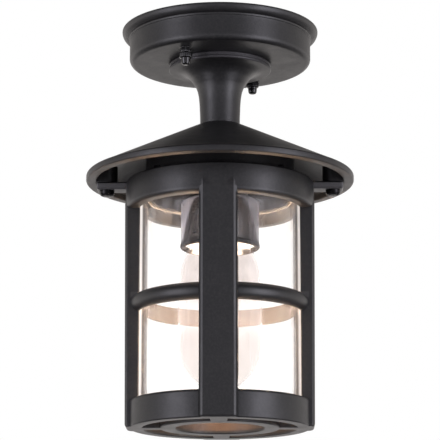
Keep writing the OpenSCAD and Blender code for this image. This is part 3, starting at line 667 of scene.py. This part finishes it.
trumpet = spline([(31.5, -28.45), (28.2, -28.75), (25.2, -29.8), (22.6, -31.6),
                  (20.6, -33.6), (19.1, -35.7), (17.7, -37.9), (16.5, -39.9),
                  (15.6, -42.1), (15.0, -44.3), (14.55, -46.8), (14.2, -49.7),
                  (13.98, -53), (13.8, -57), (13.62, -62), (13.6, -67.08)], 5)
stem_profile = (
    rounded([(9, -24.12), (34.6, -24.12), (35.08, -24.55, 0.3),
             (35.1, -25.35, 0.3), (34.55, -25.8, 0.25), (34.55, -26.55, 0.25),
             (35.1, -27.0, 0.3), (35.08, -27.9, 0.35), (34.5, -28.42, 0.35),
             (31.5, -28.45)], closed=False)[:-1]
    + trumpet + [(5.15, -67.08), (5.15, -61), (9, -60.9), (9, -32), (13.9, -31.8),
                 (13.9, -29.2), (9, -29.1)]
)
stem = lathe("stem_casting", stem_profile, 192)
dress(stem, "black_coat", ROOT, "stem")

# ---------------------------------------------------------------------- roof

SLOPE = (103.5 - 67.1) / (90.9 - 14.5)


def roof_z(r):
    return -(67.1 + (r - 14.5) * SLOPE)


roof_profile = rounded(
    [(5.12, -67.12), (14.4, -67.12, 0.6)]
    + [(r, roof_z(r)) for r in (24, 36, 48, 60, 72, 82, 87)]
    + [(90.86, roof_z(90.4) - 0.1, 1.2), (90.88, -107.62, 1.2), (84.0, -107.68, 0.5),
       (84.0, roof_z(84) - 2.8, 1.2)]
    + [(r, roof_z(r) - 2.8) for r in (74, 60, 46, 32)]
    + [(16.5, roof_z(16.5) - 2.8, 1.5), (13, -72.58, 0.5), (5.12, -72.58)],
    closed=True, steps=6)
roof = lathe("roof_shell", roof_profile, 256)
dress(roof, "black_coat", ROOT, "roof")


def boss(side):
    """A cast lug under the roof that takes an ear screw."""
    bm = bmesh.new()
    outline = []
    for k in range(33):
        w = math.radians(90 + 180 * k / 32)
        outline.append((76.8 + 7.2 * math.cos(w), 7.2 * math.sin(w)))
    outline += [(83.9, -7.2), (83.9, 7.2)]
    bottom, top = [], []
    for x, y in outline:
        r = math.hypot(x, y)
        bottom.append(bm.verts.new((side * x * MM, y * MM, -107.85 * MM)))
        top.append(bm.verts.new((side * x * MM, y * MM, (roof_z(r) - 1.4) * MM)))
    n = len(outline)
    for k in range(n):
        j = (k + 1) % n
        bm.faces.new((bottom[k], bottom[j], top[j], top[k]))
    bm.faces.new(bottom)
    bm.faces.new(top)
    ob = finish_mesh(bm, "roof_boss_r" if side > 0 else "roof_boss_l")
    bevel(ob, 0.5, 2)
    return dress(ob, "black_coat", ROOT)


for s in (-1, 1):
    boss(s)

# ------------------------------------------------------------------ cap nuts

UX, UY = math.cos(math.radians(62.7)), math.sin(math.radians(62.7))
nut_profile = rounded(
    [(2.1, 0), (4.1, 0, 0.3), (4.42, -0.5, 0.3), (4.42, -1.2), (4.42, -1.8),
     (4.42, -2.4), (4.42, -3.1, 0.4), (3.9, -3.62, 0.3), (3.25, -3.8, 0.3),
     (3.14, -4.4), (3.1, -5.0), (3.06, -5.7), (3.0, -6.4), (2.85, -7.1, 0.8),
     (2.4, -7.95, 0.8), (1.3, -8.38, 0.8), (0, -8.4)], closed=False, steps=4)
nut_profile += [(0, -7.3), (2.07, -7.2), (2.07, -3)]


def cap_nut(name, body, x, y, z, node):
    def wob(w, r, zz):
        d = zz - z
        if r > 4.2 and -3.3 < d < -0.3:
            return r - 0.15 * (0.5 + 0.5 * math.cos(w * 24)) ** 2
        return r
    ob = lathe(name, [(r, zz + z) for r, zz in nut_profile], 192, (x, y), wobble=wob)
    return dress(ob, "black_coat", body, node, mat="nut_black")


cap_nut("cap_nut_near_piece", "cap_nut_near", -48.3 * UX, -48.3 * UY, -28.05, "cap_nut_left")
cap_nut("cap_nut_far_piece", "cap_nut_far", 48.3 * UX, 48.3 * UY, -24.15, "cap_nut_right")


def lock_wob(w, r, z):
    return r - (0.22 * (0.5 + 0.5 * math.cos(w * 20)) ** 2 if r > 3.3 and -27.4 < z < -24.6 else 0.0)


lock = lathe("lock_nut_piece", rounded(
    [(2.1, -24.12), (3.86, -24.12, 0.15), (3.5, -24.6, 0.2), (3.5, -25.4), (3.5, -26.4),
     (3.5, -27.3, 0.3), (3.1, -28.0, 0.3), (2.1, -28.0)]), 160,
    (-48.3 * UX, -48.3 * UY), wobble=lock_wob)
dress(lock, "black_coat", ROOT, "lock_nut", mat="nut_black")

# --------------------------------------------------------------------- glass

glass = lathe("glass_tube", rounded(
    [(51.1, -119.65, 0.8), (54.1, -119.65, 0.8)] + [(54.1, z) for z in range(-130, -260, -10)]
    + [(54.1, -265.75, 0.8), (51.1, -265.75, 0.8)] + [(51.1, z) for z in range(-250, -120, 10)]),
    256)
dress(glass, "clear_glass", CAGE, "glass_cylinder")
glass.visible_shadow = False

retainer = lathe("retainer_ring", rounded(
    [(48.62, -87.62, 0.4), (50.38, -87.62, 0.4), (50.38, -92), (50.38, -97), (50.38, -102),
     (50.38, -106.72, 0.8), (60.55, -106.72, 0.4),
     (60.55, -107.88, 0.2), (50.38, -107.88), (50.38, -116.85, 0.8), (54.55, -116.85, 0.4),
     (54.55, -118.38, 0.4), (48.62, -118.38, 0.8), (48.62, -108), (48.62, -98)]), 224)
dress(retainer, "black_coat", CAGE, "glass_retainer")

# -------------------------------------------------------------------- shroud

lip = quarter(25.2, -151.7, 1.78, 44, -260, 30)
shroud = lathe("shroud_tube", [(17.75, -121.08)]
               + quarter(24.5, -123.05, 1.97, 90, 0, 8)
               + [(26.47, -126), (26.47, -130), (26.47, -136), (26.47, -142),
                  (26.47, -147), (26.47, -149.6)] + lip
               + [(24.9, -147), (24.9, -140), (24.9, -132),
                  (24.9, -123.7), (23.9, -122.62), (17.75, -122.62)], 224)
dress(shroud, "black_gloss", ROOT, "holder_shroud", mat="shroud_black")

# ---------------------------------------------------------------------- bulb

outer = spline([(11.5, -135.5), (11.7, -140.2), (12.4, -142.2), (13.6, -144.2),
                (15.2, -146.8), (17.6, -150.2), (20.3, -153.4), (22.8, -156.5),
                (24.8, -159.8), (26.3, -163.6), (27.3, -168), (27.9, -174),
                (28.3, -182), (28.5, -192), (28.5, -206), (28.5, -220.5)], 4)
outer += [(28.5 * math.cos(math.radians(i * 3.75)),
           -220.5 - 28.5 * math.sin(math.radians(i * 3.75))) for i in range(1, 24)]
outer.append((0.0, -249.0))
inner = []
for i, (r, z) in enumerate(outer[:-1]):
    a = Vector(outer[max(i - 1, 0)])
    b = Vector(outer[min(i + 1, len(outer) - 1)])
    t = (b - a).normalized()
    inner.append((max(r - 0.8 * abs(t.y), 0.01), z + 0.8 * abs(t.x) * (1 if z < -200 else -1 if z > -141 else 0.0)))
inner.append((0.0, -248.2))
bulb = lathe("bulb_envelope", outer + list(reversed(inner)), 192)
dress(bulb, "bulb_glass", BULB, "bulb_glass")
bulb.visible_shadow = False


def thread(name, z0, z1, r_in, r_out, depth, pitch=3.6, seg=96, ends=1.6, sign=1):
    """A sleeve with a rolled helical thread, in mm."""
    bm = bmesh.new()
    rows = int((z0 - z1) / 0.3)
    out, inn = [], []
    for i in range(rows + 1):
        z = z0 + (z1 - z0) * i / rows
        fade = min(1.0, (z0 - z) / ends, (z - z1) / ends)
        fade = max(0.0, fade)
        a, b = [], []
        for k in range(seg):
            w = 2 * math.pi * k / seg
            wave = math.cos(2 * math.pi * (z / pitch) + sign * w) * depth * fade
            for lst, r in ((a, r_out + wave), (b, r_in + wave)):
                lst.append(bm.verts.new((r * math.cos(w) * MM, r * math.sin(w) * MM, z * MM)))
        out.append(a)
        inn.append(b)
    for grid in (out, inn):
        for a, b in zip(grid, grid[1:]):
            for k in range(seg):
                j = (k + 1) % seg
                bm.faces.new((a[k], a[j], b[j], b[k]))
    for a, b in ((out[0], inn[0]), (out[-1], inn[-1])):
        for k in range(seg):
            j = (k + 1) % seg
            bm.faces.new((a[k], a[j], b[j], b[k]))
    return finish_mesh(bm, name, 60.0)


cap = thread("bulb_cap_thread", -121.2, -140.8, 12.35, 12.78, 0.3)
dress(cap, "nickel_cap", BULB, "bulb_cap")
crown = lathe("bulb_cap_crown", rounded(
    [(12.78, -121.2), (12.6, -120.4, 0.5), (9.8, -118.42, 0.4), (9.8, -119.2, 0.2),
     (12.0, -120.9), (12.35, -121.2)]), 96)
dress(crown, "nickel_cap", BULB)
shell = thread("holder_thread", -118.6, -140.5, 13.95, 14.35, 0.22, sign=1)
dress(shell, "brass", ROOT, "thread_shell")
shell_top = lathe("holder_thread_top", rounded(
    [(14.35, -118.6), (14.35, -116.3, 0.4), (10.6, -116.3), (10.6, -116.9), (13.95, -116.9, 0.4),
     (13.95, -118.6)]), 96)
dress(shell_top, "brass", ROOT)

mount_profile = spline([(10.3, -138.6), (10.35, -139.7), (9.2, -141.7), (6.9, -144.2),
                        (5.0, -149), (4.1, -156), (3.6, -164), (3.3, -171),
                        (3.5, -173.6), (2.6, -175.4), (1.2, -175.9)], 5)
mount = lathe("bulb_mount_glass", [(0.0, -138.6)] + mount_profile + [(0.0, -176.0)],
              96, closed=False)
dress(mount, "bulb_glass", BULB, "bulb_stem", mat="bulb_stem_glass")
mount.visible_shadow = False

bm = bmesh.new()
for i in range(6):
    w = math.radians(60 * i + 30)
    top = (9.5 * math.cos(w), 9.5 * math.sin(w), -180.0)
    bot = (9.5 * 1.25 * math.cos(w), 9.5 * 1.25 * math.sin(w), -214.2)
    bar(bm, top, bot, 0.95, 20)
fils = finish_mesh(bm, "light_filaments")
bevel(fils, 0.4, 3)
dress(fils, "filament", BULB, "bulb_filaments")
bm = bmesh.new()
for i in range(6):
    w = math.radians(60 * i + 30)
    c, s = math.cos(w), math.sin(w)
    bar(bm, (0, 0, -176.9), (9.5 * c * 0.92, 9.5 * s * 0.92, -178.4), 0.26, 10)
    bar(bm, (9.5 * c * 0.92, 9.5 * s * 0.92, -178.4), (9.5 * c, 9.5 * s, -180.3), 0.26, 10)
    bar(bm, (0, 0, -216.2), (11.6 * c, 11.6 * s, -215.6), 0.26, 10)
    bar(bm, (11.6 * c, 11.6 * s, -215.6), (11.875 * c, 11.875 * s, -214.1), 0.26, 10)
bar(bm, (0, 0, -217.2), (0, 0, -176.6), 0.4, 16)
bar(bm, (0, 0, -217.2), (0, 0, -215.2), 1.1, 24)
bar(bm, (0, 0, -177.8), (0, 0, -176.0), 1.1, 24)
wires = finish_mesh(bm, "light_supports", merge=1e-7)
dress(wires, "nickel_cap", BULB, "bulb_wires")

# ---------------------------------------------------------------------- cage

def tessellate(bm, outer_loop, holes, flip=False):
    """Fills a flat outline that has holes with triangles."""
    loops = [outer_loop] + holes
    flat = [v for loop in loops for v in loop]
    for tri in tessellate_polygon([[v.co for v in loop] for loop in loops]):
        vs = [flat[i] for i in tri]
        try:
            bm.faces.new(vs)
        except ValueError:
            pass


def slot_outline(quadrant, grow):
    """The outline of one grille slot in mm, grown outwards by grow."""
    ri, ro, half = 40 - grow, 51.6 + grow, 5.65 - grow
    ai, ao = math.asin(half / ri), math.asin(half / ro)
    pts = []
    for k in range(17):
        w = ao + (math.pi / 2 - 2 * ao) * k / 16
        pts.append((ro * math.cos(w), ro * math.sin(w)))
    for k in range(13):
        w = math.pi / 2 - ai - (math.pi / 2 - 2 * ai) * k / 12
        pts.append((ri * math.cos(w), ri * math.sin(w)))
    c, s = math.cos(quadrant * math.pi / 2), math.sin(quadrant * math.pi / 2)
    return [(x * c - y * s, x * s + y * c) for x, y in pts]


def circle(r, n):
    return [(r * math.cos(2 * math.pi * k / n), r * math.sin(2 * math.pi * k / n))
            for k in range(n)]


def foot_casting():
    """The bottom ring with its open grille, as one closed shell."""
    bm = bmesh.new()
    seg = 192

    def loop(points, z):
        return [bm.verts.new((x * MM, y * MM, z * MM)) for x, y in points]

    def bridge(rows):
        for a, b in zip(rows, rows[1:]):
            for k in range(len(a)):
                j = (k + 1) % len(a)
                bm.faces.new((a[k], a[j], b[j], b[k]))

    side = rounded([(58.0, -275.0), (60.5, -275.0, 2.0), (60.5, -268), (60.5, -262),
                    (60.5, -256.52, 2.0), (55.2, -256.52, 0.9), (55.2, -262),
                    (55.2, -267.0)], closed=False, steps=6)
    rows = [loop(circle(r, seg), z) for r, z in side]
    bridge(rows)
    edge = [(0.7, -275.0), (0.43, -274.9), (0.2, -274.72), (0.05, -274.4), (0.0, -274.1),
            (0.0, -267.6), (0.12, -267.2), (0.4, -267.0)]
    low, high = [], []
    for outline in ([lambda g: circle(29.6 + g, 96)]
                    + [lambda g, q=q: slot_outline(q, g) for q in range(4)]):
        wall = [loop(outline(g), z) for g, z in edge]
        bridge(wall)
        low.append(wall[0])
        high.append(wall[-1])
    tessellate(bm, rows[0], low)
    tessellate(bm, rows[-1], high)
    return finish_mesh(bm, "cage_foot", 40.0)


def strap(angle):
    """A flat strap with chamfered edges, leaning in towards its foot."""
    bm = bmesh.new()
    levels = [(-274.98, 60.85)]
    for k in range(1, 9):
        w = math.radians(90 * k / 8)
        levels.append((-273.0 - 2.0 * math.cos(w), 60.85 + 1.96 * math.sin(w)))
    for z in range(-268, -123, 12):
        levels.append((z, 63.8 + (z + 127.3) * 0.00677))
    levels += [(-124.2, 63.79), (-123.0, 63.74), (-121.5, 63.62), (-120.0, 63.44),
               (-117.0, 62.95), (-114.0, 62.31), (-109.4, 61.6)]
    rows = []
    for z, R in levels:
        sec = [(R - 1.45, -12.5, 0.9), (R, -10.0, 0.7), (R, -6), (R, 0), (R, 6), (R, 10.0, 0.7),
               (R - 1.45, 12.5, 0.9)]
        pts = rounded([(54.2, -12.5)] + sec + [(54.2, 12.5)], closed=False, steps=4)
        pts += [(math.sqrt(55.2 ** 2 - y * y), y) for y in (12.0, 8, 4, 0, -4, -8, -12.0)]
        rows.append([bm.verts.new((x * MM, y * MM, z * MM)) for x, y in pts])
    n = len(rows[0])
    for a, b in zip(rows, rows[1:]):
        for k in range(n):
            j = (k + 1) % n
            bm.faces.new((a[k], a[j], b[j], b[k]))
    bm.faces.new(rows[0])
    bm.faces.new(rows[-1])
    bmesh.ops.rotate(bm, verts=bm.verts, cent=(0, 0, 0),
                     matrix=Matrix.Rotation(math.radians(angle), 3, "Z"))
    return finish_mesh(bm, "cage_strap_%d" % angle, 30.0)


def ear(side):
    """A flat lug on the top ring, with its screw hole."""
    bm = bmesh.new()
    outers, holes = [], []
    for z, g in ((-112.7, 1.25), (-112.56, 0.85), (-112.2, 0.42), (-111.7, 0.12), (-111.2, 0.0),
                 (-108.8, 0.0),
                 (-108.4, 0.12), (-108.1, 0.38), (-107.92, 0.8)):
        draft = 0.8 * (-107.92 - z) / 4.78
        x1, h, c = 83.8 - g - 0.3 * draft, 7.5 - g - draft, 1.5 - g
        pts = [(58.5, -h)]
        for k in range(7):
            w = math.radians(-90 + 90 * k / 6)
            pts.append((x1 - c + c * math.cos(w), -h + c + c * math.sin(w)))
        for k in range(7):
            w = math.radians(90 * k / 6)
            pts.append((x1 - c + c * math.cos(w), h - c + c * math.sin(w)))
        pts.append((58.5, h))
        outers.append([bm.verts.new((side * x * MM, y * MM, z * MM)) for x, y in pts])
    for z in (-112.7, -107.92):
        holes.append([bm.verts.new((side * (76.8 + 2.08 * math.cos(w * math.pi / 16)) * MM,
                                    2.08 * math.sin(w * math.pi / 16) * MM, z * MM))
                      for w in range(32)])
    for rows in (outers, holes):
        for a, b in zip(rows, rows[1:]):
            for k in range(len(a)):
                j = (k + 1) % len(a)
                bm.faces.new((a[k], a[j], b[j], b[k]))
    tessellate(bm, outers[0], [holes[0]])
    tessellate(bm, outers[-1], [holes[-1]])
    return finish_mesh(bm, "cage_ear_r" if side > 0 else "cage_ear_l")


def union(name, pieces, sharp=32.0):
    """Joins closed shells into one skin."""
    base = pieces[0]
    group = bpy.data.collections.new(name + "_parts")
    for ob in pieces[1:]:
        group.objects.link(ob)
    mod = base.modifiers.new("join", "BOOLEAN")
    mod.operation = "UNION"
    mod.operand_type = "COLLECTION"
    mod.collection = group
    mod.solver = "EXACT"
    graph = bpy.context.evaluated_depsgraph_get()
    me = bpy.data.meshes.new_from_object(base.evaluated_get(graph))
    for ob in pieces:
        bpy.data.objects.remove(ob, do_unlink=True)
    bpy.data.collections.remove(group)
    bm = bmesh.new()
    bm.from_mesh(me)
    ob = finish_mesh(bm, name, sharp, merge=2e-6)
    w = ob.modifiers.new("even_shading", "WEIGHTED_NORMAL")
    w.mode = "FACE_AREA"
    w.weight = 50
    w.keep_sharp = True
    return ob


top_ring = lathe("cage_top_ring", rounded(
    [(55.2, -107.92, 0.6), (63.78, -107.92, 1.1), (63.78, -127.3, 3.0), (55.2, -127.3, 0.7)],
    steps=7), 192)
mid_ring = lathe("cage_mid_ring", rounded(
    [(55.2, -186.0)] + quarter(54.85, -191.8, 5.8, 86, -86, 26) + [(55.2, -197.6)]), 192)
cage = union("cage_casting", [top_ring, mid_ring, foot_casting()]
             + [strap(a) for a in (0, 90, 180, 270)] + [ear(1), ear(-1)])
dress(cage, "black_coat", CAGE, "cage_frame")

# ----------------------------------------------------- CAD nodes that stay

record_slots = {s["node"]: s["material_slot"] for s in frame["record"]["subparts"]}
for name, ob in NODES.items():
    if ob.hide_render:
        continue
    ob.data.materials.clear()
    ob.data.materials.append(MATS[record_slots[name]])
    for poly in ob.data.polygons:
        poly.material_index = 0

# -------------------------------------------------------------- light, floor

world = bpy.data.worlds.new("studio")
scene.world = world
world.use_nodes = True
wn = world.node_tree
wn.nodes.clear()
wo = wn.nodes.new("ShaderNodeOutputWorld")
mixw = wn.nodes.new("ShaderNodeMixShader")
seen = wn.nodes.new("ShaderNodeBackground")
seen.inputs["Color"].default_value = (1, 1, 1, 1)
seen.inputs["Strength"].default_value = 1.0
through = wn.nodes.new("ShaderNodeBackground")
through.inputs["Color"].default_value = (1, 1, 1, 1)
through.inputs["Strength"].default_value = 1.16
env = wn.nodes.new("ShaderNodeBackground")
coord = wn.nodes.new("ShaderNodeTexCoord")
sep = wn.nodes.new("ShaderNodeSeparateXYZ")
wn.links.new(coord.outputs["Generated"], sep.inputs[0])
rz = wn.nodes.new("ShaderNodeMapRange")
rz.inputs[1].default_value, rz.inputs[2].default_value = -0.15, 0.75
rz.inputs[3].default_value, rz.inputs[4].default_value = 1.18, 0.10
wn.links.new(sep.outputs["Z"], rz.inputs["Value"])
ry = wn.nodes.new("ShaderNodeMapRange")
ry.inputs[1].default_value, ry.inputs[2].default_value = -0.9, 0.5
ry.inputs[3].default_value, ry.inputs[4].default_value = 0.74, 1.0
wn.links.new(sep.outputs["Y"], ry.inputs["Value"])
mul = wn.nodes.new("ShaderNodeMath")
mul.operation = "MULTIPLY"
wn.links.new(rz.outputs[0], mul.inputs[0])
wn.links.new(ry.outputs[0], mul.inputs[1])
wn.links.new(mul.outputs[0], env.inputs["Strength"])
warm = wn.nodes.new("ShaderNodeMapRange")
warm.inputs[1].default_value, warm.inputs[2].default_value = -0.6, 0.35
wn.links.new(sep.outputs["Y"], warm.inputs["Value"])
tone = wn.nodes.new("ShaderNodeMix")
tone.data_type = "RGBA"
tone.inputs[6].default_value = (0.98, 0.96, 1.04, 1)
tone.inputs[7].default_value = (1.04, 0.99, 0.965, 1)
wn.links.new(warm.outputs[0], tone.inputs[0])
wn.links.new(tone.outputs[2], env.inputs["Color"])
lp = wn.nodes.new("ShaderNodeLightPath")
mix_t = wn.nodes.new("ShaderNodeMixShader")
wn.links.new(lp.outputs["Is Transmission Ray"], mix_t.inputs[0])
wn.links.new(env.outputs[0], mix_t.inputs[1])
wn.links.new(through.outputs[0], mix_t.inputs[2])
wn.links.new(lp.outputs["Is Camera Ray"], mixw.inputs[0])
wn.links.new(mix_t.outputs[0], mixw.inputs[1])
wn.links.new(seen.outputs[0], mixw.inputs[2])
wn.links.new(mixw.outputs[0], wo.inputs["Surface"])


def softbox(name, place, target, size, power, colour=(1, 1, 1)):
    data = bpy.data.lights.new(name, "AREA")
    data.shape = "RECTANGLE"
    data.size, data.size_y = size
    data.energy = power
    data.color = colour
    ob = bpy.data.objects.new(name, data)
    scene.collection.objects.link(ob)
    ob.location = place
    ob.rotation_euler = (Vector(target) - Vector(place)).to_track_quat("-Z", "Y").to_euler()
    ob.visible_camera = False
    return ob


softbox("soft_left", (-1.39, -0.98, -0.42), (0, 0, -0.20), (0.75, 1.9), 16.5,
        (0.97, 0.95, 1.06))
softbox("soft_right", (1.39, -0.98, -0.42), (0, 0, -0.20), (0.75, 1.9), 20.5,
        (0.97, 0.95, 1.06))

glow = bpy.data.lights.new("bulb_glow", "POINT")
glow.energy = 1.1
glow.color = (1.0, 0.72, 0.50)
glow.shadow_soft_size = 0.014
glow_ob = bpy.data.objects.new("bulb_glow", glow)
scene.collection.objects.link(glow_ob)
glow_ob.location = (0, 0, -0.212)
glow_ob.visible_camera = False
glow_ob.visible_transmission = False
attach(glow_ob, BULB)

bm = bmesh.new()
bmesh.ops.create_grid(bm, x_segments=8, y_segments=8, size=6.0)
floor_me = bpy.data.meshes.new("studio_floor")
bm.to_mesh(floor_me)
bm.free()
floor = bpy.data.objects.new("studio_floor", floor_me)
scene.collection.objects.link(floor)
floor.location = (0, 0, -2.4)
floor.data.materials.append(floor_mat())

# -------------------------------------------------------------------- camera

cam_data = bpy.data.cameras.new("camera")
cam_data.sensor_width = 36.0
cam_data.lens = 179.9
cam = bpy.data.objects.new("camera", cam_data)
scene.collection.objects.link(cam)
ORBIT = math.radians(1.07)
cam.location = (1.454 * math.sin(ORBIT), -1.454 * math.cos(ORBIT), -0.458)
cam.rotation_euler = (math.radians(102.61), 0, ORBIT)
cam_data.shift_y = -0.0011
scene.camera = cam
scene.view_settings.view_transform = "Standard"
scene.view_settings.look = "None"
